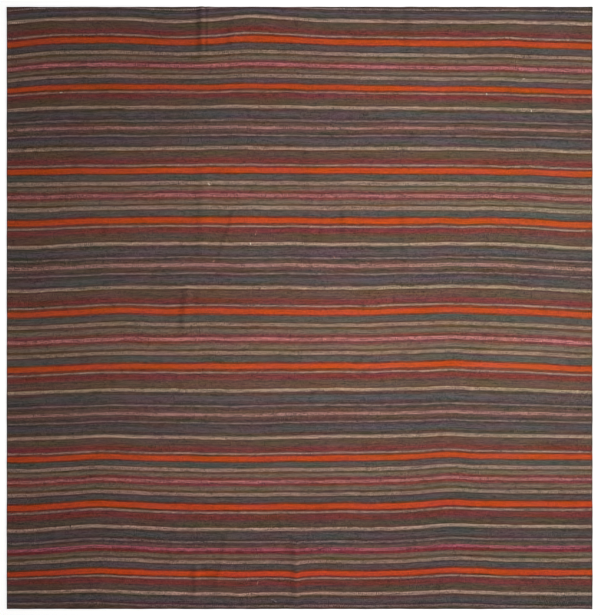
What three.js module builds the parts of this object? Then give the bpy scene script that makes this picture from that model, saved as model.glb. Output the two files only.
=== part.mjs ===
// A kilim: one flat-woven sheet of wool with cross stripes, lying flat on a floor.
// Millimetres, +Z up. +Y runs along the warp to the far end, +X along the stripes.
// The origin is on the floor under the middle of the rug.

import * as THREE from 'three';

// Driving dimensions of the cloth
const rugWidth = 2000;
const rugLength = 2056;
const clothThickness = 2.6;

// The wefts turn round a bundle of warps at each long side, which makes it thicker
const selvedgeWidth = 9;
const selvedgeThickness = 3.2;

// A crease dies away over this length at each end of its crest line
const creaseFade = 45;

// The creases that folding has left: the height of the crest, the widths of the flanks on its
// left and right, and its line as [x, y] from the far end to the near one. The cloth can only rise
// off a floor, so each crease is a ridge. A line past the rug's end keeps its height to the edge.
const creases = [
  { name: 'far fold', height: 5.5, left: 24, right: 14, line: [[-335, 1080], [-335, 845]] },
  { name: 'far fold, second', height: 2, left: 9, right: 20, line: [[-312, 1080], [-314, 850]] },
  { name: 'far bow', height: 2.5, left: 20, right: 35, line: [[-228, 1000], [-236, 925], [-226, 865]] },
  { name: 'far right', height: 3, left: 24, right: 40, line: [[373, 1080], [373, 825]] },
  { name: 'long fold, upper', height: 4, left: 34, right: 40, line: [[-333, 505], [-335, 140]] },
  { name: 'long fold, lower', height: 5, left: 26, right: 25, line: [[-385, 90], [-396, -110]] },
  { name: 'slanting', height: 2.5, left: 18, right: 18, line: [[-222, 365], [-276, 135]] },
  { name: 'middle, long', height: 2.5, left: 30, right: 30, line: [[30, 555], [36, 120]] },
  { name: 'middle, short', height: 2.2, left: 18, right: 35, line: [[82, 400], [80, 200]] },
  { name: 'middle, right', height: 2.5, left: 22, right: 22, line: [[152, 385], [154, 215]] },
  { name: 'right of middle', height: 2.5, left: 24, right: 18, line: [[352, 420], [362, 120]] },
  { name: 'near middle', height: 4.5, left: 28, right: 15, line: [[-14, -760], [-12, -1015]] },
  { name: 'near left', height: 4, left: 20, right: 22, line: [[-356, -845], [-356, -1015]] },
  { name: 'near slanting', height: 2.8, left: 20, right: 15, line: [[-248, -745], [-284, -985]] },
  { name: 'near left, faint', height: 2, left: 26, right: 40, line: [[-424, -745], [-445, -915]] },
];

// Spacing of the facets where the cloth is flat, and the least spacing at the creases
const flatColumn = 100;
const flatRow = 129;
const leastColumn = 8;
const leastRow = 45;

const woolColour = 0x6c4c43;

function smooth(t) {
  const s = Math.min(1, Math.max(0, t));
  return s * s * (3 - 2 * s);
}

// Where a crease's crest line crosses a given y
function crestX(line, y) {
  for (let k = 1; k < line.length; k += 1) {
    const [x0, y0] = line[k - 1];
    const [x1, y1] = line[k];
    if (y >= y1 || k === line.length - 1) {
      return x0 + (x1 - x0) * smooth((y0 - y) / (y0 - y1));
    }
  }
  return line[0][0];
}

// How high one crease lifts the cloth: a squared cosine on each flank
function creaseRise(crease, x, y) {
  const yFar = crease.line[0][1];
  const yNear = crease.line[crease.line.length - 1][1];
  const along = smooth((yFar - y) / creaseFade) * smooth((y - yNear) / creaseFade);
  const across = x - crestX(crease.line, y);
  const flank = across < 0 ? crease.left : crease.right;
  const bell = Math.cos((Math.PI / 2) * Math.min(1, Math.abs(across) / flank)) ** 2;
  return crease.height * along * bell;
}

function clothRise(x, y) {
  return creases.reduce((sum, crease) => sum + creaseRise(crease, x, y), 0);
}

function thicknessAt(x) {
  const inFromEdge = rugWidth / 2 - Math.abs(x);
  const share = smooth((selvedgeWidth - inFromEdge) / (selvedgeWidth / 2));
  return clothThickness + (selvedgeThickness - clothThickness) * share;
}

// Grid lines over a span: evenly spaced ones, and wanted ones that keep a least distance from
// those placed before them. The wanted ones come first, so that a crease keeps its crest.
function gridLines(span, spacing, wanted, least) {
  const lines = [-span / 2, span / 2];
  const place = (value, distance) => {
    const inside = Math.abs(value) < span / 2;
    if (inside && lines.every((other) => Math.abs(other - value) >= distance)) {
      lines.push(value);
    }
  };
  wanted.forEach((value) => place(value, least));
  const steps = Math.round(span / spacing);
  for (let k = 1; k < steps; k += 1) {
    place(-span / 2 + (k * span) / steps, 0.45 * spacing);
  }
  return lines.sort((a, b) => a - b);
}

// Columns on each crest first, then down its flanks, and the selvedges' inner sides
function columnPositions() {
  const crests = creases.flatMap((crease) => crease.line.map(([x]) => x));
  const flanks = creases.flatMap((crease) => crease.line.flatMap(([x]) => [
    x - crease.left,
    x + crease.right,
    x - crease.left / 2,
    x + crease.right / 2,
  ]));
  const inner = rugWidth / 2 - selvedgeWidth;
  const selvedges = [-inner, inner, selvedgeWidth / 2 + inner, -inner - selvedgeWidth / 2];
  return gridLines(rugWidth, flatColumn, [...crests, ...flanks], leastColumn)
    .concat(selvedges)
    .sort((a, b) => a - b);
}

// Rows where each crease ends and where it has reached its full height
function rowPositions() {
  const ends = creases.flatMap((crease) => {
    const yFar = crease.line[0][1];
    const yNear = crease.line[crease.line.length - 1][1];
    return [yFar - creaseFade, yNear + creaseFade, yFar, yNear];
  });
  return gridLines(rugLength, flatRow, ends, leastRow);
}

// The grid's rim as [column, row], once round anticlockwise as seen from above
function rimWalk(lastColumn, lastRow) {
  const upTo = (count) => Array.from({ length: count }, (_, k) => k);
  return [
    ...upTo(lastColumn).map((k) => [k, 0]),
    ...upTo(lastRow).map((k) => [lastColumn, k]),
    ...upTo(lastColumn).map((k) => [lastColumn - k, lastRow]),
    ...upTo(lastRow).map((k) => [0, lastRow - k]),
  ];
}

// The sheet as one closed mesh: an upper and a lower face on the same grid, and a rim
function sheetGeometry() {
  const xs = columnPositions();
  const ys = rowPositions();
  const vertices = [];
  const triangles = [];
  const perFace = xs.length * ys.length;
  const vertexAt = (face, i, j) => face * perFace + j * xs.length + i;
  const addQuad = (a, b, c, d) => triangles.push(a, b, c, a, c, d);

  for (const face of [0, 1]) {
    for (const y of ys) {
      for (const x of xs) {
        vertices.push(x, y, clothRise(x, y) + face * thicknessAt(x));
      }
    }
  }
  const lastColumn = xs.length - 1;
  const lastRow = ys.length - 1;
  const [lower, upper] = [0, 1];
  for (let j = 0; j < lastRow; j += 1) {
    for (let i = 0; i < lastColumn; i += 1) {
      const anticlockwise = [[i, j], [i + 1, j], [i + 1, j + 1], [i, j + 1]];
      const clockwise = [[i, j], [i, j + 1], [i + 1, j + 1], [i + 1, j]];
      addQuad(...anticlockwise.map(([column, row]) => vertexAt(upper, column, row)));
      addQuad(...clockwise.map(([column, row]) => vertexAt(lower, column, row)));
    }
  }

  const rim = rimWalk(lastColumn, lastRow);
  rim.forEach(([i, j], k) => {
    const [iNext, jNext] = rim[(k + 1) % rim.length];
    addQuad(
      vertexAt(lower, i, j),
      vertexAt(lower, iNext, jNext),
      vertexAt(upper, iNext, jNext),
      vertexAt(upper, i, j),
    );
  });

  const geometry = new THREE.BufferGeometry();
  geometry.setAttribute('position', new THREE.Float32BufferAttribute(vertices, 3));
  geometry.setIndex(triangles);
  geometry.computeVertexNormals();
  return geometry;
}

function kilimCloth() {
  const wool = new THREE.MeshStandardMaterial({ color: woolColour, roughness: 0.95, metalness: 0 });
  const mesh = new THREE.Mesh(sheetGeometry(), wool);
  mesh.name = 'kilim_cloth';
  return mesh;
}

const kilim = new THREE.Group();
kilim.add(kilimCloth());

export default kilim;
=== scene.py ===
import bpy
import numpy as np
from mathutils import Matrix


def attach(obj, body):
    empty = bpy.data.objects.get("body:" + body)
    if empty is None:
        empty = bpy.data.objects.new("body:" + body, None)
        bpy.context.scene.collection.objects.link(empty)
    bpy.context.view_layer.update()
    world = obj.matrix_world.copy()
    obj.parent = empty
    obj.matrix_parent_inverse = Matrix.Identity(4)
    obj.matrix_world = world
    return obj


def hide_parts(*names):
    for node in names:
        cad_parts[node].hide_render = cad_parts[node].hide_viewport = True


# A flat-woven wool rug with cross stripes, on a pale floor under a soft lamp and a low window.
# Sizes are in millimetres until a mesh is made. +Y runs along the warp to the far end,
# +X along the stripes, and the floor is at height 0.

MM = 0.001

# The cloth, with the same sizes as the solid that it stands for
RUG_WIDTH = 2000.0
RUG_LENGTH = 2056.0
CLOTH_THICKNESS = 2.6
SELVEDGE_WIDTH = 9.0
SELVEDGE_THICKNESS = 3.2

# A crease fades out over this length at each end of its crest
CREASE_FADE = 45.0

# The weave: one rib stands over each warp, and a weft covers every second rib
WARP_PITCH = 3.35
PICK_PITCH = 1.42

# The cloth's mesh: the widest gap between columns, between columns over a crease and between
# rows, and the gap at the rim, with what it gains for each mm inward
COLUMN_GAP = 11.0
CREASE_GAP = 3.6
ROW_GAP = 14.0
RIM_GAP = 0.35
GAP_GROWTH = 0.55

# The hand-woven edge: how far it stands out on the mean, how deep that reaches into the cloth,
# how far along the waves the two ends begin, and the waves themselves
EDGE_STAND_OFF = 0.6
WAVER_DEPTH = 30.0
END_WAVER_START = 400.0
EDGE_WAVES = (
    # height, length over 2 pi, start
    (0.22, 31.0, 0.0),
    (0.17, 12.3, 1.0),
    (0.12, 71.0, 0.0),
)

# The creases that folding has left: name, height of the crest, width of the flank on its left
# and on its right, how much painted shade darkens their left flank, away from the lamp, and the
# crest's line as (x, y) from the far end to the near one
CREASES = (
    # name, height, left flank, right flank, painted shade, crest line
    ("far fold", 5.5, 22, 14, 0.23, ((-335, 1080), (-335, 845))),
    ("far fold, second", 2, 9, 20, 0.09, ((-312, 1080), (-314, 850))),
    ("far bow", 2.5, 20, 35, 0.11, ((-228, 1000), (-236, 925), (-226, 865))),
    ("far right", 3, 24, 40, 0.13, ((373, 1080), (373, 825))),
    ("long fold, upper", 4, 34, 40, 0.06, ((-333, 505), (-335, 140))),
    ("long fold, lower", 5, 26, 25, 0.10, ((-385, 90), (-396, -110))),
    ("slanting", 2.5, 18, 18, 0.15, ((-222, 365), (-276, 135))),
    ("middle, long", 2.5, 30, 30, 0.05, ((30, 555), (36, 120))),
    ("middle, short", 2.2, 18, 35, 0.05, ((82, 400), (80, 200))),
    ("middle, right", 2.5, 22, 22, 0.11, ((152, 385), (154, 215))),
    ("right of middle", 2.5, 24, 18, 0.08, ((352, 420), (362, 120))),
    ("near middle", 4.5, 28, 15, 0.11, ((-14, -760), (-12, -1015))),
    ("near left", 4, 20, 22, 0.13, ((-356, -845), (-356, -1015))),
    ("near slanting", 2.8, 20, 15, 0.10, ((-248, -745), (-284, -985))),
    ("near left, faint", 2, 26, 40, 0.05, ((-424, -745), (-445, -915))),
)

# Where the stripes leave the straight: name, place of the bend, its half width across and along
# the rug, how far the stripes stand above their mean level there, and the bend's shape
BENDS = (
    # name, x, y, half width, half length, rise, shape
    ("left edge, far", -1010, 850, 65, 190, -9, "round"),
    ("left edge, far middle", -1010, 415, 150, 60, 5, "round"),
    ("left edge, middle", -1010, -30, 170, 420, -13, "round"),
    ("left edge, near", -1010, -790, 130, 140, -10, "round"),
    ("left corner, near", -1010, -1010, 200, 60, 9, "round"),
    ("left of middle bulge", -650, -30, 90, 60, 5, "round"),
    ("right edge, far", 1020, 860, 180, 150, -11, "round"),
    ("right edge, middle", 1020, 180, 145, 500, -12, "round"),
    ("right edge, near", 1020, -700, 260, 230, 8, "round"),
    ("right corner, near", 1000, -1030, 320, 70, -8, "round"),
    ("far hump", -140, 940, 130, 170, 8, "round"),
    ("far hump's crest", -155, 990, 60, 50, 7, "round"),
    ("far dip left of the fold", -410, 980, 70, 90, -6.5, "round"),
    ("far right sag", 500, 950, 220, 160, -5, "round"),
    ("far left hump", -690, 920, 170, 170, 6, "round"),
    ("left of middle", -320, 420, 300, 300, 4, "round"),
    ("middle hollow", 60, 0, 150, 45, -3, "round"),
    ("right kink, middle", 520, -180, 130, 300, 8, "peaked"),
    ("right kink, near", 520, -720, 90, 230, 10, "peaked"),
    ("near middle rise", 130, -360, 120, 130, 4, "round"),
    ("left kink, near", -680, -760, 110, 270, 9, "peaked"),
    ("middle sag, near", -230, -640, 300, 280, -6, "round"),
    ("near sag right of middle", 280, -760, 120, 200, -3, "round"),
    ("left, below the middle", -930, -200, 150, 55, -3.5, "round"),
    ("left, above the middle", -740, 110, 80, 50, -2.5, "round"),
    ("right edge, below the middle", 1010, -170, 90, 110, -4, "round"),
    ("right, above the middle", 930, 273, 50, 60, -2.3, "round"),
    ("far right dip", 740, 700, 90, 130, -2.1, "round"),
    ("right of middle dip", 548, 350, 45, 90, -2, "round"),
    ("right kink's near side", 560, -460, 60, 110, -2.5, "round"),
    ("right kink's near end", 500, -890, 90, 60, 1.6, "round"),
    ("far left dip", -520, 590, 80, 90, -2, "round"),
    ("far middle rise", 100, 770, 110, 50, 1.6, "round"),
    ("middle rise", 90, 437, 100, 50, 1.6, "round"),
    ("near rise right of middle", 160, -711, 60, 45, 2.2, "round"),
    ("middle dip", 240, -60, 60, 170, -1.9, "round"),
    ("left of middle rise", -272, -80, 60, 90, 1.7, "round"),
    ("near left rise", -640, -560, 170, 170, 1.4, "round"),
    ("near right dip", 890, -880, 110, 60, -1.6, "round"),
    ("right rise", 700, 60, 60, 80, 1.7, "round"),
    ("near middle crease", -8, -920, 16, 100, -4.5, "peaked"),
    ("near end, left of middle", -202, -975, 24, 32, -3.5, "peaked"),
)

# How round the crest of a peaked bend is, as a share of its half width
PEAK_ROUNDING = 0.35

# The dyed wools: red, green and blue of 255 in even light, and how speckled the yarn is
WOOLS = {
    # name: red, green, blue, speckle
    "orange": (189, 75, 38, 0.05),
    "red orange": (198, 74, 39, 0.05),
    "sand": (160, 133, 117, 0.44),
    "pale sand": (169, 140, 127, 0.51),
    "yellow sand": (155, 132, 111, 0.44),
    "dull sand": (141, 117, 105, 0.46),
    "tan": (144, 119, 107, 0.38),
    "yellow tan": (140, 115, 100, 0.38),
    "cream": (152, 119, 108, 0.43),
    "rusty cream": (153, 110, 98, 0.38),
    "rose": (161, 101, 99, 0.56),
    "warm rose": (171, 102, 105, 0.56),
    "dim rose": (157, 98, 97, 0.56),
    "magenta rose": (151, 81, 92, 0.56),
    "dusty rose": (151, 111, 105, 0.51),
    "mauve": (119, 100, 98, 0.46),
    "pale mauve": (129, 111, 109, 0.46),
    "dim mauve": (111, 91, 89, 0.46),
    "sage": (119, 100, 87, 0.21),
    "taupe": (114, 83, 73, 0.26),
    "crimson": (116, 46, 51, 0.31),
    "madder": (119, 58, 55, 0.26),
    "dark madder": (106, 63, 57, 0.31),
    "madder brown": (112, 61, 57, 0.35),
    "red brown": (122, 60, 58, 0.31),
    "brown madder": (111, 67, 61, 0.26),
    "brown": (98, 71, 63, 0.23),
    "plum brown": (100, 67, 63, 0.26),
    "warm brown": (100, 74, 67, 0.31),
    "russet brown": (101, 76, 64, 0.26),
    "charcoal brown": (84, 65, 58, 0.31),
    "olive brown": (96, 76, 64, 0.24),
    "dim brown": (90, 74, 63, 0.26),
    "dark olive": (95, 71, 54, 0.31),
    "dark brown": (91, 63, 49, 0.26),
    "dark rust": (118, 60, 42, 0.29),
    "deep rust": (117, 53, 36, 0.31),
    "warm rust": (125, 61, 42, 0.29),
    "rust brown": (109, 57, 38, 0.30),
    "dusk brown": (90, 69, 61, 0.26),
    "night brown": (79, 61, 55, 0.26),
    "slate": (87, 77, 76, 0.26),
    "green slate": (88, 81, 76, 0.26),
    "rosy slate": (93, 77, 77, 0.26),
    "blue grey": (89, 79, 81, 0.26),
    "blue slate": (94, 85, 93, 0.26),
    "slate plum": (83, 70, 71, 0.28),
    "dark plum": (80, 62, 60, 0.31),
    "night plum": (76, 53, 55, 0.31),
    "charcoal": (82, 65, 58, 0.34),
    "undyed": (238, 226, 208, 0.0),
    "faded rose": (196, 146, 132, 0.0),
    "pale grey": (158, 148, 152, 0.0),
    "black brown": (50, 36, 28, 0.0),
}

# Each half repeat of the stripes, from its dusty rose line to its rose line: where the middle of
# each marker line lies in mm from the far end, how wide the orange line is, how light its wools
# are, and its lot of dyed wool
HALF_REPEATS = (
    # dusty, mauve, sand, cream, orange, tan, rose, orange width, lightness, lot
    (None, 5.1, 44.8, 99.2, 118.0, 159.7, 202.5, 16.0, 1.01, "far end"),
    (412.9, 389.0, 344.7, 292.9, 275.8, 239.8, 202.5, 15.3, 0.98, "far"),
    (412.9, 439.1, 483.7, 541.7, 559.8, 602.9, 644.5, 15.7, 0.993, "main"),
    (882.7, 856.7, 810.3, 749.4, 729.9, 687.1, 644.5, 17.0, 0.993, "main"),
    (882.7, 910.9, 957.8, 1018.3, 1038.8, 1084.5, 1133.3, 15.2, 0.985, "bright"),
    (1388.3, 1359.9, 1307.2, 1246.1, 1225.2, 1180.8, 1133.3, 16.5, 1.007, "bright"),
    (1388.3, 1416.0, 1465.5, 1519.3, 1537.6, 1575.4, 1615.8, 15.8, 0.975, "main"),
    (None, 1821.6, 1777.9, 1720.3, 1701.6, 1658.6, 1615.8, 16.4, 0.96, "near"),
    (None, 2041.2, 2000.5, 1948.1, 1930.4, 1890.0, 1847.5, 16.2, 0.975, "near"),
)
MARKERS = ("dusty", "mauve", "sand", "cream", "orange", "tan", "rose")

# The plan's start lies this far inside the far end
PLAN_START = 1.3

# The wools that a lot has in place of those in the plan
LOTS = {
    "far end": {"green slate": "slate", "dark rust": "deep rust", "dusk brown": "night brown",
                "blue grey": "blue slate", "sand": "pale sand", "mauve": "pale mauve"},
    "far": {"green slate": "rosy slate", "cream": "rusty cream", "rust brown": "dark rust",
            "rose": "warm rose"},
    "main": {"rose": "dim rose"},
    "bright": {"sand": "yellow sand", "tan": "yellow tan", "olive brown": "russet brown",
               "rust brown": "dark rust", "dark rust": "warm rust"},
    "near": {"green slate": "slate", "dark rust": "deep rust", "dusk brown": "night brown",
             "orange": "red orange", "brown madder": "madder", "brown": "plum brown",
             "olive brown": "dim brown", "madder brown": "red brown", "dark plum": "night plum",
             "sand": "pale sand"},
}

# The wools of each marker line from its dusty side to its rose side, with their widths in mm
LINES = {
    "dusty": (("dusty rose", 10.3),),
    "mauve": (("mauve", 5.8),),
    "sand": (("dull sand", 4.7), ("sand", 6.5)),
    "cream": (("cream", 5.8),),
    "tan": (("tan", 11.5),),
    "rose": (("rose", 10.2),),
}

# The wools between two marker lines, from the dusty side to the rose side, with their shares of
# the gap
GROUNDS = {
    "dusty": (("warm brown", 0.53), ("charcoal brown", 0.47)),
    "mauve": (
        ("dark plum", 0.16), ("slate plum", 0.17), ("blue grey", 0.20),
        ("slate", 0.22), ("charcoal", 0.17), ("charcoal brown", 0.08),
    ),
    "sand": (
        ("dark brown", 0.09), ("olive brown", 0.31), ("brown", 0.15),
        ("brown madder", 0.11), ("madder", 0.24), ("dark madder", 0.10),
    ),
    "cream": (("dark rust", 1.0),),
    "orange": (("rust brown", 0.23), ("green slate", 0.58), ("dusk brown", 0.19)),
    "tan": (("dark olive", 0.24), ("sage", 0.32), ("taupe", 0.17), ("madder brown", 0.27)),
}

# Stripes outside that order: start and end in mm from the far end, and the wool
ODD_STRIPES = (
    # start, end, wool
    (-4.0, 0.8, "charcoal brown"),
    (1825.1, 1832.4, "dark plum"),
    (1832.4, 1841.9, "warm brown"),
    (1841.9, 1851.9, "magenta rose"),
    (1851.9, 1858.4, "crimson"),
    (2038.3, 2045.0, "dim mauve"),
    (2045.0, 2062.0, "charcoal brown"),
)

# An odd stripe covers those that start on it, when its two ends are taken this much further back
COVER_SLACK = 0.3

# How many stripes one colour ramp holds
STRIPES_PER_RAMP = 30

# Where the cloth is darker or paler over a wide soft patch: name, place, half width and half
# height, how much darker it is there, and how much redder
PATCHES = (
    # name, x, y, half width, half height, darker, redder
    ("far left", -580, 850, 230, 170, 0.085, 0.0),
    ("far right corner", 900, 960, 200, 90, -0.09, 0.0),
    ("far, right of middle", 330, 740, 130, 110, -0.12, 0.0),
    ("left side", -960, 450, 150, 170, 0.085, 0.0),
    ("left side, near", -860, -200, 150, 200, 0.05, 0.0),
    ("right side", 960, 350, 130, 120, 0.0, -0.078),
    ("right of middle, far", 540, 330, 160, 110, 0.02, -0.032),
    ("right of middle, near", 450, -200, 110, 200, 0.07, 0.0),
    ("near left", -560, -590, 260, 100, -0.08, 0.032),
    ("near right", 480, -720, 220, 130, 0.09, 0.0),
    ("near end, left", -480, -950, 200, 80, -0.11, 0.0),
    ("near end", -150, -960, 380, 100, 0.0, 0.055),
)

# The red has faded towards the right: how much, from which x and over what width
FADING = 0.055
FADING_START = -100.0
FADING_SPAN = 1400.0

# Loose ends and knots of yarn on the cloth: wool, thickness, where it starts and ends as x and y,
# and how far its middle bows to the left of that line
YARN_ENDS = (
    # wool, thickness, start x, start y, end x, end y, bow
    ("undyed", 4.2, -168.9, 223.4, -168.1, 215.4, 0.6),
    ("undyed", 2.6, -313.4, 425.2, -308.2, 421.6, 0.0),
    ("undyed", 3.0, -309.4, 423.4, -306.9, 418.6, 0.0),
    ("undyed", 2.0, -820.4, 734.3, -809.6, 735.9, 0.5),
    ("undyed", 2.0, 762.2, 780.4, 769.8, 782.6, 0.8),
    ("undyed", 2.4, 638.0, 734.2, 638.8, 725.8, 0.5),
    ("undyed", 3.2, 790.6, 676.7, 791.2, 669.0, 0.4),
    ("faded rose", 1.8, -147.2, 263.6, -147.9, 259.0, 0.3),
    ("faded rose", 2.0, -151.3, 254.2, -152.2, 247.4, 0.4),
    ("faded rose", 2.0, -290.6, 163.6, -299.0, 156.2, 1.0),
    ("faded rose", 1.8, 116.2, 177.0, 122.6, 168.8, -1.0),
    ("faded rose", 2.2, 232.6, 155.2, 234.2, 148.8, 0.5),
    ("faded rose", 1.7, -142.9, -931.6, -146.8, -945.4, 1.6),
    ("pale grey", 1.8, -97.4, -996.2, -88.6, -998.4, 1.2),
    ("pale grey", 1.8, -87.8, -999.4, -77.0, -1003.6, -1.0),
    ("black brown", 2.4, -94.0, -1002.4, -86.4, -1005.2, 0.6),
    ("black brown", 3.6, -783.6, -741.2, -784.6, -751.2, 0.8),
)

# Painted shade at the near end of the far fold, on its left flank: its place, its half width and
# half height, and how much of the red, green and blue it takes
FOLD_END_SHADE = (-356.0, 852.0, 15.0, 8.0)
FOLD_END_SHADE_DARKER = (0.3, 0.3, 0.45)

# The rim has painted shade from this far inside the edge, darkest at the second distance
RIM_SHADE_START = 5.0
RIM_SHADE_DARKEST = 0.5

# Each pick's row of the noise lies so many cells from the last one's, for the streaks and for
# the flecks, and yarn with no more speckle than this has no flecks
STREAK_LANE = 3.71
FLECK_LANE = 2.93
UNFLECKED = 0.11

# As light: the undyed wool of the flecks, and the least that any dye leaves
UNDYED_FLECK = (0.50, 0.37, 0.30, 1.0)
DARKEST_DYE = 0.008

# The smooth noises of the cloth: how wide a cell is in mm, how tall in mm or in lanes of yarn,
# and the noise's detail and roughness
MOTTLES = {
    # name: width, height, detail, roughness
    "ribs, slow wander": (41.0, 270.0, 0.0, 0.5),
    "ribs, quick wander": (8.0, 110.0, 0.0, 0.5),
    "picks, small dips": (17.0, 7.0, 0.0, 0.5),
    "picks, dips": (74.0, 21.0, 1.0, 0.6),
    "picks, wide dips": (135.0, 330.0, 1.0, 0.4),
    "fibres drawn out": (2.3, 0.5, 3.0, 0.6),
    "stray hairs": (0.7, 2.6, 2.0, 0.6),
    "long streaks": (170.0, 1.0, 3.0, 0.75),
    "short streaks": (26.0, 1.0, 3.0, 0.7),
    "lumps of yarn": (4.9, 4.2, 1.0, 0.5),
    "flecks": (9.0, 1.0, 1.0, 0.6),
    "redder dye": (210.0, 25.0, 1.0, 0.5),
    "bluer dye": (190.0, 24.0, 1.0, 0.5),
    "paler wool": (420.0, 160.0, 2.0, 0.5),
}

# The floor, in metres: its flat radius, the width and height of its upward sweep, and how far it
# lies below the cloth
FLOOR_RADIUS = 18.0
SWEEP_WIDTH = 6.0
SWEEP_HEIGHT = 9.0
FLOOR_DROP = 0.0006

# The light's colour, and the picture's height on the cloth and its middle, in metres
LAMP_COLOUR = (1.0, 0.98, 0.95)
FRAME_HEIGHT = 2.1001
FRAME_MIDDLE = (0.0012, 0.0014)


def smooth(t):
    """An S-curve from 0 to 1: 3 t squared minus 2 t cubed, with t held between 0 and 1."""
    s = np.clip(t, 0.0, 1.0)
    return s * s * (3.0 - 2.0 * s)


def soft_patch(x, y, middle_x, middle_y, half_x, half_y):
    """exp of minus half the squares of the distances from the middle over the half sizes."""
    return np.exp(-0.5 * (((x - middle_x) / half_x) ** 2 + ((y - middle_y) / half_y) ** 2))


def crest_x(line, y):
    """Where a crest line lies at each y: an S-curve from one point of the line to the next."""
    (x, _), *rest = line
    at = np.full_like(y, x)
    for (x0, y0), (x1, y1) in zip(line, rest):
        at = at + (x1 - x0) * smooth((y0 - y) / (y0 - y1))
    return at


def crest_fade(line, y):
    """1 along a crest line, with an S-curve down to 0 at each of its two ends."""
    y_far, y_near = line[0][1], line[-1][1]
    return smooth((y_far - y) / CREASE_FADE) * smooth((y - y_near) / CREASE_FADE)


def crease_rise(x, y):
    """Sum over the creases of height times a squared cosine across each flank, faded along."""
    total = np.zeros(np.broadcast(x, y).shape)
    for _, height, left, right, _, line in CREASES:
        across = x - crest_x(line, y)
        flank = np.where(across < 0, left, right)
        bell = np.cos(np.pi / 2 * np.minimum(1.0, np.abs(across) / flank)) ** 2
        total += height * crest_fade(line, y) * bell
    return total


def painted_fold_shade_and_patches(x, y):
    """How much darker the cloth is: painted shade on the left flank of each crease, and the
    patches.

    The painted shade is a bell on each left flank, faded along the crest line: exp of minus the
    square of the distance from a quarter of the way down the flank, over half the flank.
    """
    total = np.zeros(np.broadcast(x, y).shape)
    for _, _, left, _, fold_shade, line in CREASES:
        # Painted shade on each crease's left flank, the side turned from the lamp
        across = (x - crest_x(line, y) + left / 4) / (left / 2)
        total += fold_shade * crest_fade(line, y) * np.exp(-across**2)
    for _, middle_x, middle_y, half_x, half_y, darker, _ in PATCHES:
        total += darker * soft_patch(x, y, middle_x, middle_y, half_x, half_y)
    return total


def redness(x, y):
    """How much redder the cloth is: the patches, less an S-curve of fading towards the right."""
    total = -FADING * smooth((x - FADING_START) / FADING_SPAN)
    for _, middle_x, middle_y, half_x, half_y, _, redder in PATCHES:
        total = total + redder * soft_patch(x, y, middle_x, middle_y, half_x, half_y)
    return total


def stripe_bend(x, y):
    """Sum over the bends of rise times a bell across times a bell along.

    A round bell is exp of minus half the square; a peaked one falls as a plain exp from a
    crest that is only just rounded.
    """
    total = np.zeros(np.broadcast(x, y).shape)
    for _, bend_x, bend_y, half_x, half_y, rise, shape in BENDS:
        across = (x - bend_x) / half_x
        along = (y - bend_y) / half_y
        if shape == "peaked":
            bell = np.exp(PEAK_ROUNDING - np.sqrt(across**2 + PEAK_ROUNDING**2))
        else:
            bell = np.exp(-0.5 * across**2)
        total += rise * bell * np.exp(-0.5 * along**2)
    return total


def spaced(span, gap_at):
    """Positions from end to end whose gaps follow gap_at: equal steps of the sum of 1/gap."""
    fine = np.linspace(-span / 2, span / 2, 8001)
    density = 1.0 / gap_at(fine)
    steps = np.concatenate([[0.0], np.cumsum((density[1:] + density[:-1]) / 2 * np.diff(fine))])
    count = int(np.ceil(steps[-1])) + 1
    return np.interp(np.linspace(0.0, steps[-1], count), steps, fine)


def column_gap(x):
    """The gap between columns: narrow over the creases, and finer towards the selvedges."""
    gap = np.full_like(x, COLUMN_GAP)
    for _, _, left, right, _, line in CREASES:
        xs = [point[0] for point in line]
        near = (x > min(xs) - left) & (x < max(xs) + right)
        gap = np.where(near, CREASE_GAP, gap)
    return np.minimum(gap, RIM_GAP + GAP_GROWTH * (RUG_WIDTH / 2 - np.abs(x)))


def row_gap(y):
    """The gap between rows, finer towards the two ends."""
    return np.minimum(ROW_GAP, RIM_GAP + GAP_GROWTH * (RUG_LENGTH / 2 - np.abs(y)))


def waver(along):
    """How far a hand-woven edge stands out: a mean, plus each wave's height times its sine."""
    reach = EDGE_STAND_OFF
    for height, length, start in EDGE_WAVES:
        reach = reach + height * np.sin(along / length + start)
    return reach


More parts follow.
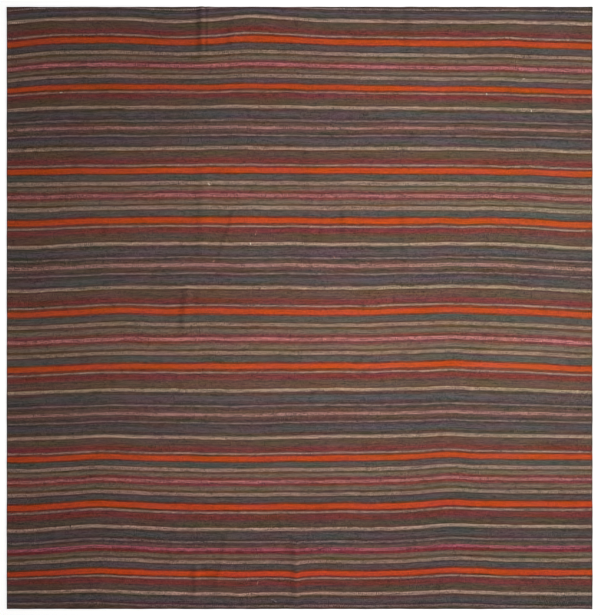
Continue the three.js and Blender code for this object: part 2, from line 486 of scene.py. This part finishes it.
def closed_cloth(name, xs, ys):
    """The rug as one closed shell on a grid of x and y.

    The lower face lies on the floor, raised by the creases. The upper one is a thickness above
    it, and the two meet at the rim in a half round: half the thickness times the square root of
    1 minus (1 minus the distance from the rim over the half thickness) squared. The UV map is
    in metres: u across the rug, v from the far end, less the bend of the stripes.
    """
    x, y = np.meshgrid(xs, ys)
    in_x = RUG_WIDTH / 2 - np.abs(x)
    in_y = RUG_LENGTH / 2 - np.abs(y)
    share = smooth((SELVEDGE_WIDTH - in_x) / (SELVEDGE_WIDTH / 2))
    thickness = CLOTH_THICKNESS + (SELVEDGE_THICKNESS - CLOTH_THICKNESS) * share
    inward = np.minimum(in_x, in_y) / (thickness / 2)
    half = thickness / 2 * np.sqrt(1.0 - (1.0 - np.minimum(1.0, inward)) ** 2)
    middle = crease_rise(x, y) + thickness / 2
    place_x = x + np.sign(x) * waver(y) * smooth(1.0 - in_x / WAVER_DEPTH)
    place_y = y + np.sign(y) * waver(x + END_WAVER_START) * smooth(1.0 - in_y / WAVER_DEPTH)

    # The lower face shares the rim's points with the upper one
    rows, columns = x.shape
    upper = np.arange(rows * columns).reshape(rows, columns)
    lower = upper.copy()
    lower[1:-1, 1:-1] = rows * columns + np.arange((rows - 2) * (columns - 2)).reshape(rows - 2, -1)
    inner = (slice(1, -1), slice(1, -1))

    def on_both_faces(top, bottom, parts):
        return np.concatenate([top.reshape(-1, parts), bottom[inner].reshape(-1, parts)])

    def quads(index, order):
        corners = (index[:-1, :-1], index[:-1, 1:], index[1:, 1:], index[1:, :-1])
        return np.stack([corners[k] for k in order], axis=-1).reshape(-1, 4)

    top = np.stack([place_x, place_y, middle + half], axis=-1)
    bottom = np.stack([place_x, place_y, middle - half], axis=-1)
    flat = np.stack([x, RUG_LENGTH / 2 - y + stripe_bend(x, y)], axis=-1)
    faces = np.concatenate([quads(upper, (0, 1, 2, 3)), quads(lower, (0, 3, 2, 1))])
    piece = mesh_piece(name, on_both_faces(top, bottom, 3) * MM, faces,
                       on_both_faces(flat, flat, 2) * MM, "cloth")
    # Stored for the material: painted shade on the creases' left flanks with the darker and paler
    # patches, and the redness
    for mask_name, mask in (("painted_fold_shade_and_patches", painted_fold_shade_and_patches(x, y)), ("redness", redness(x, y))):
        point_values(piece, mask_name, "FLOAT", "value", on_both_faces(mask, mask, 1))
    return piece


def yarn_ends(name):
    """All loose ends of yarn as closed tubes of ten rings of eight points.

    A ring's middle is a straight way from start to end, plus the bow times 4 t (1 minus t). It
    stands off the cloth by a radius times 1.3 sin(pi t) minus 0.5, so that both ends dip in. The
    radius is the half thickness times the fourth root of 1 minus (2 t minus 1) to the fourth,
    and at least a quarter of it. A ring is 0.8 times as high as wide. Quads close the two ends.
    """
    rings, around = 10, 8
    t = np.linspace(0.0, 1.0, rings)[:, None]
    turn = np.linspace(0.0, 2 * np.pi, around, endpoint=False)[None, :]
    index = np.arange(rings * around).reshape(rings, around)
    after = np.roll(index, -1, axis=1)
    side = np.stack([index[:-1], after[:-1], after[1:], index[1:]], axis=-1).reshape(-1, 4)
    caps = np.array([(3, 2, 1, 0), (7, 4, 3, 0), (7, 6, 5, 4)])
    faces_each = np.concatenate([side, caps, caps[:, ::-1] + (rings - 1) * around])

    points, faces, uv, colours = [], [], [], []
    for wool, thickness, x0, y0, x1, y1, bow in YARN_ENDS:
        length = float(np.hypot(x1 - x0, y1 - y0))
        ahead = np.array([x1 - x0, y1 - y0]) / length
        left = np.array([-ahead[1], ahead[0]])
        aside = bow * 4 * t * (1 - t)
        x = x0 + (x1 - x0) * t + left[0] * aside
        y = y0 + (y1 - y0) * t + left[1] * aside
        radius = thickness / 2 * np.maximum(0.25, (1 - (2 * t - 1) ** 4) ** 0.25)
        top = crease_rise(x, y) + CLOTH_THICKNESS
        z = top + thickness / 2 * (1.3 * np.sin(np.pi * t) - 0.5)
        ring_x = x + radius * np.cos(turn) * left[0]
        ring_y = y + radius * np.cos(turn) * left[1]
        ring_z = z + radius * np.sin(turn) * 0.8
        faces.append(faces_each + len(points) * rings * around)
        points.append(np.stack([ring_x, ring_y, ring_z], axis=-1).reshape(-1, 3) * MM)
        uv.append(np.stack([t * length + 0 * turn, radius * turn], axis=-1).reshape(-1, 2) * MM)
        colours.append(np.tile((*linear(wool), 1.0), (rings * around, 1)))
    piece = mesh_piece(name, np.concatenate(points), np.concatenate(faces), np.concatenate(uv),
                       "yarn")
    point_values(piece, "yarn_colour", "FLOAT_COLOR", "color", np.concatenate(colours))
    return piece


def mesh_piece(name, points, faces, uv, uv_name):
    """A smooth-shaded mesh object from whole arrays of points, four-sided faces and a UV map."""
    mesh = bpy.data.meshes.new(name)
    mesh.vertices.add(len(points))
    mesh.vertices.foreach_set("co", points.astype(np.float32).ravel())
    mesh.loops.add(faces.size)
    mesh.loops.foreach_set("vertex_index", faces.astype(np.int32).ravel())
    mesh.polygons.add(len(faces))
    mesh.polygons.foreach_set("loop_start", np.arange(0, faces.size, 4, dtype=np.int32))
    mesh.polygons.foreach_set("use_smooth", np.ones(len(faces), dtype=bool))
    layer = mesh.uv_layers.new(name=uv_name)
    layer.uv.foreach_set("vector", uv[faces.ravel()].astype(np.float32).ravel())
    mesh.update(calc_edges=True)
    mesh.validate()
    piece = bpy.data.objects.new(name, mesh)
    bpy.context.scene.collection.objects.link(piece)
    return piece


def point_values(piece, name, kind, field, values):
    """A named value at each point of a piece, for its material to read."""
    layer = piece.data.attributes.new(name, kind, "POINT")
    layer.data.foreach_set(field, values.astype(np.float32).ravel())


def linear(wool, lightness=1.0):
    """A wool's colour as light: each part raised by the screen's curve, times the lightness."""
    parts = np.array(WOOLS[wool][:3]) / 255.0 * lightness
    light = np.where(parts <= 0.04045, parts / 12.92, ((parts + 0.055) / 1.055) ** 2.4)
    return tuple(float(part) for part in light)


def half_repeat(row):
    """The stripes of one half repeat, as (start, end, wool, lightness) in mm from the far end."""
    *middles, orange_width, lightness, lot = row
    lines = dict(LINES, orange=(("orange", orange_width),))
    placed = [(name, middle) for name, middle in zip(MARKERS, middles) if middle is not None]
    rose_last = placed[0][1] < placed[-1][1]
    turned = slice(None, None, 1 if rose_last else -1)
    stripes = []
    at, before = None, None
    for name, middle in placed[turned]:
        line = lines[name][turned]
        start = middle - sum(width for _, width in line) / 2
        if before is not None:
            ground = GROUNDS[min(name, before, key=MARKERS.index)][turned]
            gap = start - at
            for wool, share in ground:
                stripes.append((at, at + gap * share, wool))
                at += gap * share
        at = start
        for wool, width in line:
            stripes.append((at, at + width, wool))
            at += width
        before = name
    lots = LOTS[lot]
    return [(start, end, lots.get(wool, wool), lightness) for start, end, wool in stripes]


def stripe_plan():
    """All stripes from the far end to the near one; an odd stripe covers what lies under it."""
    found = {}
    for row in HALF_REPEATS:
        for start, end, wool, lightness in half_repeat(row):
            found[round(start, 1)] = (start, end, wool, lightness)
    for start, end, wool in ODD_STRIPES:
        covered = [key for key, stripe in found.items()
                   if start - COVER_SLACK <= stripe[0] < end - COVER_SLACK]
        for key in covered:
            del found[key]
        found[round(start, 1)] = (start, end, wool, 1.0)
    return sorted(found.values())


class Pattern:
    """Short calls that wire a node tree: each adds one or a few nodes and gives back an output."""

    def __init__(self, tree):
        self.tree = tree
        self.count = 0

    def node(self, kind, **settings):
        made = self.tree.nodes.new(kind)
        made.location = (190 * (self.count // 8), -170 * (self.count % 8))
        self.count += 1
        for name, value in settings.items():
            setattr(made, name, value)
        return made

    def put(self, socket, value):
        if isinstance(value, bpy.types.NodeSocket):
            self.tree.links.new(value, socket)
        else:
            socket.default_value = value

    def filled(self, made, *values):
        """The first output of a node, once its inputs are filled in order."""
        for socket, value in zip(made.inputs, values):
            self.put(socket, value)
        return made.outputs[0]

    def math(self, operation, *values):
        return self.filled(self.node("ShaderNodeMath", operation=operation), *values)

    def vector_math(self, operation, *values):
        return self.filled(self.node("ShaderNodeVectorMath", operation=operation), *values)

    def joined(self, *parts):
        """Two or three numbers as one place or colour."""
        return self.filled(self.node("ShaderNodeCombineXYZ"), *parts)

    def parted(self, value):
        """The three numbers of a place."""
        made = self.node("ShaderNodeSeparateXYZ")
        self.put(made.inputs[0], value)
        return made.outputs

    def weighed(self, *terms):
        """The sum of values times their weights, from (value, weight) pairs."""
        total = None
        for value, weight in terms:
            part = self.math("MULTIPLY", value, weight)
            total = part if total is None else self.math("ADD", total, part)
        return total

    def scaled(self, value, factor, start):
        """A value times a factor, plus a start."""
        return self.math("ADD", self.math("MULTIPLY", value, factor), start)

    def noise(self, x, y, detail=0.0, roughness=0.5):
        """Smooth noise about 0 at (x, y), one cell of it a unit wide."""
        made = self.node("ShaderNodeTexNoise", noise_dimensions="2D")
        self.put(made.inputs["Vector"], self.joined(x, y))
        self.put(made.inputs["Scale"], 1.0)
        self.put(made.inputs["Detail"], detail)
        self.put(made.inputs["Roughness"], roughness)
        return self.math("SUBTRACT", made.outputs[0], 0.5)

    def mottle(self, name, x, y):
        """The noise about 0 of that name in MOTTLES, at (x, y)."""
        wide, tall, detail, roughness = MOTTLES[name]
        return self.noise(self.math("DIVIDE", x, wide), self.math("DIVIDE", y, tall),
                          detail, roughness)

    def lot(self, x, y):
        """A number from 0 to 1 drawn for each pair (x, y)."""
        made = self.node("ShaderNodeTexWhiteNoise", noise_dimensions="2D")
        self.put(made.inputs["Vector"], self.joined(x, y))
        return made.outputs["Value"]

    def band(self, value, low, high):
        """0 below low and 1 above high, with an S-curve between them."""
        made = self.node("ShaderNodeMapRange", interpolation_type="SMOOTHSTEP")
        self.put(made.inputs["Value"], value)
        self.put(made.inputs["From Min"], low)
        self.put(made.inputs["From Max"], high)
        return made.outputs["Result"]

    def blend(self, share, a, b):
        """a where share is 0 and b where it is 1, for colours."""
        made = self.node("ShaderNodeMix", data_type="RGBA")
        self.put(made.inputs[0], share)
        self.put(made.inputs[6], a)
        self.put(made.inputs[7], b)
        return made.outputs[2]

    def blend_value(self, share, a, b):
        """a where share is 0 and b where it is 1, for numbers."""
        made = self.node("ShaderNodeMix", data_type="FLOAT")
        self.put(made.inputs[0], share)
        self.put(made.inputs[2], a)
        self.put(made.inputs[3], b)
        return made.outputs[0]

    def shade(self, colour, factor):
        """A colour times a number."""
        made = self.node("ShaderNodeVectorMath", operation="SCALE")
        self.put(made.inputs[0], colour)
        self.put(made.inputs["Scale"], factor)
        return made.outputs[0]

    def tint(self, colour, red, green, blue):
        """A colour times a number for each of its parts."""
        return self.vector_math("MULTIPLY", colour, self.joined(red, green, blue))

    def added(self, colour, red, green, blue):
        """A colour plus a number for each of its parts, held at the darkest dye or more."""
        total = self.vector_math("ADD", colour, self.joined(red, green, blue))
        return self.vector_math("MAXIMUM", total, (DARKEST_DYE,) * 3)

    def attribute(self, name, output):
        """What a piece's mesh stores under that name."""
        return self.node("ShaderNodeAttribute", attribute_name=name).outputs[output]

    def uv_in_mm(self, name):
        """How far across and along a piece's UV map, in mm."""
        place = self.parted(self.node("ShaderNodeUVMap", uv_map=name).outputs[0])
        return self.math("MULTIPLY", place[0], 1000.0), self.math("MULTIPLY", place[1], 1000.0)

    def group(self, tree, across, along):
        """A shader node group at a place across and along, in mm."""
        made = self.node("ShaderNodeGroup", node_tree=tree)
        self.put(made.inputs["Across"], across)
        self.put(made.inputs["Along"], along)
        return made.outputs


def new_group(name, outputs):
    """An empty node group; returns it, its pattern, its two places in mm and its output."""
    group = bpy.data.node_groups.new(name, "ShaderNodeTree")
    for label in ("Across", "Along"):
        group.interface.new_socket(name=label, in_out="INPUT", socket_type="NodeSocketFloat")
    for label in outputs:
        group.interface.new_socket(name=label, in_out="OUTPUT", socket_type="NodeSocketFloat")
    pattern = Pattern(group)
    entry = pattern.node("NodeGroupInput").outputs
    leave = pattern.node("NodeGroupOutput").inputs
    return group, pattern, entry["Across"], entry["Along"], leave


def fibre_group():
    """Loose fibres of the yarn: fine noise drawn out along it, and stray hairs across it."""
    group, p, across, along, leave = new_group("wool fibre", ("Shade", "Height"))
    drawn = p.mottle("fibres drawn out", across, along)
    lean = p.math("ADD", across, p.math("MULTIPLY", along, 0.7))
    hairs = p.mottle("stray hairs", lean, along)
    both = p.weighed((drawn, 0.7), (hairs, 0.5))
    p.put(leave["Shade"], p.scaled(both, 0.55, 1.0))
    p.put(leave["Height"], both)
    return group


def weave_group():
    """A weft-faced weave of ribs and beads, measured in mm.

    The rib is the whole part of the wandering distance across over the warp pitch. A bead on it
    is two picks tall, and starts a pick later on every second rib. Its pick is twice the bead's
    number plus the rib's parity. From its crown, the bead falls by the 2.4th power of the way to
    its sides plus 0.55 times the 2.6th power of the way to its ends, and its height is 1 less
    0.65 of that fall.
    """
    outputs = ("Rib", "Pick", "Middle", "Height", "Hollow")
    group, p, across, along, leave = new_group("flat weave", outputs)

    # Ribs wander sideways and picks are beaten down unevenly, by so many mm
    wander = p.weighed((p.mottle("ribs, slow wander", across, along), 5.0),
                       (p.mottle("ribs, quick wander", across, along), 1.6))
    uneven = p.weighed((p.mottle("picks, small dips", across, along), 0.9),
                       (p.mottle("picks, dips", across, along), 2.2),
                       (p.mottle("picks, wide dips", across, along), 5.0))

    ribs = p.math("DIVIDE", p.math("ADD", across, wander), WARP_PITCH)
    rib = p.math("FLOOR", ribs)
    parity = p.math("FLOORED_MODULO", rib, 2.0)
    picks = p.math("DIVIDE", p.math("ADD", along, uneven), PICK_PITCH)
    beads = p.math("DIVIDE", p.math("SUBTRACT", picks, parity), 2.0)
    pick = p.math("ADD", p.math("MULTIPLY", p.math("FLOOR", beads), 2.0), parity)

    over_rib = p.scaled(p.math("FRACT", ribs), 2.0, -1.0)
    over_bead = p.scaled(p.math("FRACT", beads), 2.0, -1.0)
    fall_across = p.math("POWER", p.math("ABSOLUTE", over_rib), 2.4)
    fall_along = p.math("POWER", p.math("ABSOLUTE", over_bead), 2.6)
    fall = p.math("ADD", fall_across, p.math("MULTIPLY", fall_along, 0.55))

    p.put(leave["Rib"], rib)
    p.put(leave["Pick"], pick)
    p.put(leave["Middle"], p.math("MULTIPLY", p.math("ADD", pick, 1.0), PICK_PITCH))
    p.put(leave["Height"], p.scaled(fall, -0.65, 1.0))
    p.put(leave["Hollow"], p.band(fall, 0.55, 1.5))
    return group


def stripe_colour(p, distance, plan):
    """The wool's colour and speckle at a distance from the far end, from a few ramps."""
    colour, speckle = None, None
    for first in range(0, len(plan), STRIPES_PER_RAMP):
        part = plan[first:first + STRIPES_PER_RAMP]
        start, end = part[0][0], part[-1][1]
        ramp_node = p.node("ShaderNodeValToRGB")
        ramp = ramp_node.color_ramp
        ramp.interpolation = "CONSTANT"
        while len(ramp.elements) < len(part):
            ramp.elements.new(1.0)
        for k, (at, _, wool, lightness) in enumerate(part):
            element = ramp.elements[k]
            element.position = (at - start) / (end - start)
            element.color = (*linear(wool, lightness), WOOLS[wool][3])
        span = p.math("DIVIDE", p.math("SUBTRACT", distance, start), end - start)
        p.put(ramp_node.inputs[0], span)
        if colour is None:
            colour, speckle = ramp_node.outputs["Color"], ramp_node.outputs["Alpha"]
        else:
            past = p.math("GREATER_THAN", distance, start)
            colour = p.blend(past, colour, ramp_node.outputs["Color"])
            speckle = p.blend_value(past, speckle, ramp_node.outputs["Alpha"])
    return colour, speckle


def new_material(name):
    """A material with its shader; returns it, its pattern and the shader."""
    material = bpy.data.materials.new(name)
    material.use_nodes = True
    tree = material.node_tree
    tree.nodes.clear()
    pattern = Pattern(tree)
    shader = pattern.node("ShaderNodeBsdfPrincipled")
    output = pattern.node("ShaderNodeOutputMaterial")
    tree.links.new(shader.outputs[0], output.inputs["Surface"])
    return material, pattern, shader


def dull_wool(p, shader, hair, relief):
    """What all wool here shares: a dull face, rougher where a fibre stands, and a relief in mm."""
    p.put(shader.inputs["Roughness"], p.scaled(hair["Height"], 0.12, 0.9))
    shader.inputs["Specular IOR Level"].default_value = 0.12
    bump = p.node("ShaderNodeBump")
    p.put(bump.inputs["Strength"], 1.0)
    p.put(bump.inputs["Distance"], 1.0)
    p.put(bump.inputs["Height"], p.math("MULTIPLY", relief, MM))
    p.put(shader.inputs["Normal"], bump.outputs[0])


def hand_spun(p, colour, speckle, across, along, woven):
    """Thick and thin yarn: each pick streaked along its length, and flecks of undyed wool.

    A lane is a pick's own row of the noise, so far from the next that neighbours differ. The
    streaks are a weighed sum, stronger in speckled yarn, and never take more than 0.7 of the
    light.
    """
    pick = woven["Pick"]
    lane = p.math("MULTIPLY", pick, STREAK_LANE)
    long_streak = p.mottle("long streaks", across, lane)
    short_streak = p.mottle("short streaks", across, p.math("ADD", lane, 0.5))
    lump = p.mottle("lumps of yarn", across, along)
    whole_pick = p.math("SUBTRACT", p.lot(pick, 3.0), 0.5)
    bead = p.math("SUBTRACT", p.lot(woven["Rib"], pick), 0.5)
    streaks = p.weighed((long_streak, 1.7), (short_streak, 2.0), (lump, 1.2),
                        (whole_pick, 0.12), (bead, 0.22))
    streaks = p.math("MULTIPLY", streaks, p.scaled(speckle, 1.8, 0.5))
    colour = p.shade(colour, p.math("MAXIMUM", p.math("ADD", streaks, 1.0), 0.3))

    fleck = p.mottle("flecks", across, p.math("MULTIPLY", pick, FLECK_LANE))
    flecked = p.math("MAXIMUM", p.math("SUBTRACT", speckle, UNFLECKED), 0.0)
    fleck = p.math("MULTIPLY", p.band(fleck, 0.04, 0.30), flecked)
    return p.blend(p.math("MULTIPLY", fleck, 0.55), colour, UNDYED_FLECK)


def unevenly_dyed(p, colour, across, along, middle):
    """Redder and bluer stretches within a stripe, and paler and darker ones over the rug.

    The redder stretches gain red and lose a little green, and the bluer ones gain blue.
    """
    redder = p.mottle("redder dye", across, middle)
    bluer = p.mottle("bluer dye", across, p.math("ADD", middle, 500.0))
    paler = p.mottle("paler wool", across, along)
    colour = p.added(colour, p.math("MULTIPLY", redder, 0.062), p.math("MULTIPLY", redder, -0.019),
                     p.math("MULTIPLY", bluer, 0.042))
    return p.shade(colour, p.scaled(paler, 0.14, 1.0))


def fold_shade_patches_and_fading(p, colour, across, along):
    """Painted shade on the left flanks of the old folds, darker, paler, redder and faded patches,
    and painted shade at the near end of the far fold.

    Where it is redder, green is less by 0.6 of what red gains. The painted shade at the fold's end
    fades out with the distance from its middle over its half sizes, from 0.3 to 1.5.
    """
    # Painted shade on the creases' left flanks, and the darker and paler patches
    colour = p.shade(colour, p.math("SUBTRACT", 1.0, p.attribute("painted_fold_shade_and_patches", "Fac")))
    redder = p.attribute("redness", "Fac")
    colour = p.tint(colour, p.math("ADD", 1.0, redder), p.scaled(redder, -0.6, 1.0), 1.0)

    # Painted shade at the near end of the far fold
    fold_end_x, fold_end_y, half_x, half_y = FOLD_END_SHADE
    over_x = p.math("DIVIDE", p.math("SUBTRACT", across, fold_end_x), half_x)
    over_y = p.math("DIVIDE", p.math("SUBTRACT", along, RUG_LENGTH / 2 - fold_end_y), half_y)
    squares = p.math("ADD", p.math("POWER", over_x, 2.0), p.math("POWER", over_y, 2.0))
    reach = p.math("SQRT", squares)
    fold_end_shade = p.math("SUBTRACT", 1.0, p.band(reach, 0.3, 1.5))
    return p.tint(colour, *(p.scaled(fold_end_shade, -darker, 1.0) for darker in FOLD_END_SHADE_DARKER))


def painted_rim_shade(p, colour):
    """Painted shade on the rim of the cloth: a little darker towards its rounded edge."""
    place = p.parted(p.node("ShaderNodeTexCoord").outputs["Object"])
    rims = []
    for part, half_size in ((place[0], RUG_WIDTH / 2), (place[1], RUG_LENGTH / 2)):
        out = p.math("MULTIPLY", p.math("ABSOLUTE", part), 1000.0)
        rims.append(p.band(out, half_size - RIM_SHADE_START, half_size - RIM_SHADE_DARKEST))
    return p.shade(colour, p.scaled(p.math("MAXIMUM", *rims), -0.45, 1.0))


def striped_wool(plan, weave, fibre):
    """The rug's cloth: hand-spun wefts in their stripes, each pick a little lighter or darker."""
    material, p, shader = new_material("striped_wool")
    across, along = p.uv_in_mm("cloth")
    woven = p.group(weave, across, along)
    hair = p.group(fibre, across, along)
    middle = woven["Middle"]
    colour, speckle = stripe_colour(p, p.math("SUBTRACT", middle, PLAN_START), plan)
    colour = hand_spun(p, colour, speckle, across, along, woven)
    colour = unevenly_dyed(p, colour, across, along, middle)
    # Painted shade on the folds and at the far fold's end, and the patches and fading
    colour = fold_shade_patches_and_fading(p, colour, across, along)

    # Hollows between the beads lie in shade, and fibres catch the light
    hollow = p.scaled(woven["Hollow"], -0.42, 1.09)
    colour = p.shade(colour, p.math("MULTIPLY", hollow, hair["Shade"]))
    # The base colour, with painted shade on the rim
    p.put(shader.inputs["Base Color"], painted_rim_shade(p, colour))
    shader.inputs["Sheen Weight"].default_value = 0.04
    shader.inputs["Sheen Roughness"].default_value = 0.5
    dull_wool(p, shader, hair, p.weighed((woven["Height"], 0.55), (hair["Height"], 0.16)))
    return material


def loose_yarn(fibre):
    """Loose ends of yarn: their wool's colour, fibres along them, a twist across with painted shade
    in its grooves.
    """
    material, p, shader = new_material("loose_yarn")
    across, along = p.uv_in_mm("yarn")
    hair = p.group(fibre, across, along)
    twist = p.math("ADD", across, p.math("MULTIPLY", along, 0.6))
    ply = p.math("SINE", p.math("MULTIPLY", twist, 3.4))
    # Painted shade in the twist's grooves and painted light on its crowns
    colour = p.shade(p.attribute("yarn_colour", "Color"), p.scaled(ply, 0.08, 0.95))
    p.put(shader.inputs["Base Color"], p.shade(colour, hair["Shade"]))
    dull_wool(p, shader, hair, p.weighed((ply, 0.12), (hair["Height"], 0.2)))
    return material


def pale_floor():
    """A round pale floor that curves up far away.

    It is a profile carried round: flat to the floor's radius, then a quarter ellipse up. It
    glows a little, less on the sweep than on the flat.
    """
    turn = np.linspace(0.0, 2 * np.pi, 65)[:-1]
    flat = np.array([0.0005, 2.0, 6.0, 12.0, FLOOR_RADIUS])
    sweep = np.linspace(0.0, np.pi / 2, 9)[1:]
    radius = np.concatenate([flat, FLOOR_RADIUS + SWEEP_WIDTH * np.sin(sweep)])
    height = np.concatenate([np.zeros(len(flat)), SWEEP_HEIGHT * (1.0 - np.cos(sweep))])
    r, a = np.meshgrid(radius, turn, indexing="ij")
    h = np.broadcast_to(height[:, None] - FLOOR_DROP, r.shape)
    points = np.stack([r * np.cos(a), r * np.sin(a), h], -1)
    index = np.arange(r.size).reshape(r.shape)
    after = np.roll(index, -1, axis=1)
    faces = np.stack([index[:-1], index[1:], after[1:], after[:-1]], -1).reshape(-1, 4)
    points = points.reshape(-1, 3)
    floor = mesh_piece("floor", points, faces, points[:, :2], "plan")

    material, p, shader = new_material("pale_floor")
    place = p.parted(p.node("ShaderNodeTexCoord").outputs["Object"])
    grey = p.scaled(p.noise(place[0], place[1], 2.0), 0.02, 0.5)
    p.put(shader.inputs["Base Color"], p.tint((1.0, 1.0, 1.0), grey, grey, grey))
    shader.inputs["Roughness"].default_value = 0.9
    glow = p.scaled(p.band(place[2], 0.2, 6.0), -0.6, 1.0)
    p.put(shader.inputs["Emission Color"], p.tint((1.0, 1.0, 1.0), glow, glow, glow))
    shader.inputs["Emission Strength"].default_value = 0.75
    floor.data.materials.append(material)


def placed_light(light, location, tilt):
    """A light in the scene, leaning from straight down towards the left by a tilt."""
    light.color = LAMP_COLOUR
    light_object = bpy.data.objects.new(light.name, light)
    light_object.location = location
    light_object.rotation_euler = (0.0, tilt, 0.0)
    bpy.context.scene.collection.objects.link(light_object)
    return light_object


def lights():
    """One large soft lamp on the right, a low window that picks out the weave, and faint fill."""
    lamp = bpy.data.lights.new("soft_lamp", "AREA")
    lamp.shape = "RECTANGLE"
    lamp.size = 2.0
    lamp.size_y = 2.2
    lamp.energy = 37.7
    lamp_object = placed_light(lamp, (0.6, 0.0, 1.5), float(np.arctan2(0.65, 1.5)))
    lamp_object.visible_camera = False

    window = bpy.data.lights.new("window", "SUN")
    window.energy = 0.5
    window.angle = 0.12
    placed_light(window, (4.0, 0.0, 1.6), float(np.radians(68.0)))

    world = bpy.data.worlds.new("studio")
    world.use_nodes = True
    background = world.node_tree.nodes["Background"]
    background.inputs["Color"].default_value = (1.0, 1.0, 1.0, 1.0)
    background.inputs["Strength"].default_value = 0.01
    bpy.context.scene.world = world


def overhead_camera():
    """Straight down over the rug, as far up as makes the frame as high as given on the cloth."""
    camera = bpy.data.cameras.new("overhead")
    camera.lens = 85.0
    camera.sensor_width = 36.0
    distance = FRAME_HEIGHT * camera.lens / camera.sensor_width
    seat = bpy.data.objects.new("overhead", camera)
    seat.location = (*FRAME_MIDDLE, distance + CLOTH_THICKNESS * MM)
    bpy.context.scene.collection.objects.link(seat)
    bpy.context.scene.camera = seat


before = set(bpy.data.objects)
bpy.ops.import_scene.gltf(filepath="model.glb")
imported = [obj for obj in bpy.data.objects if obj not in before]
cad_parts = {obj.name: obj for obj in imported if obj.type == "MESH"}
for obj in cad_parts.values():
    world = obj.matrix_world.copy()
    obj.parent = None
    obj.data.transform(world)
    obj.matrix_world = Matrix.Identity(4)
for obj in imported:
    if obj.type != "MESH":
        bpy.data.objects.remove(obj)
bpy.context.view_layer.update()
bpy.context.scene.view_settings.view_transform = "Standard"

overhead_camera()
pale_floor()
lights()

fibre = fibre_group()
weave = weave_group()

kilim = closed_cloth("kilim", spaced(RUG_WIDTH, column_gap), spaced(RUG_LENGTH, row_gap))
kilim.data.materials.append(striped_wool(stripe_plan(), weave, fibre))
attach(kilim, "root")
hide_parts("kilim_cloth")

ends = yarn_ends("yarn_ends")
ends.data.materials.append(loose_yarn(fibre))
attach(ends, "root")
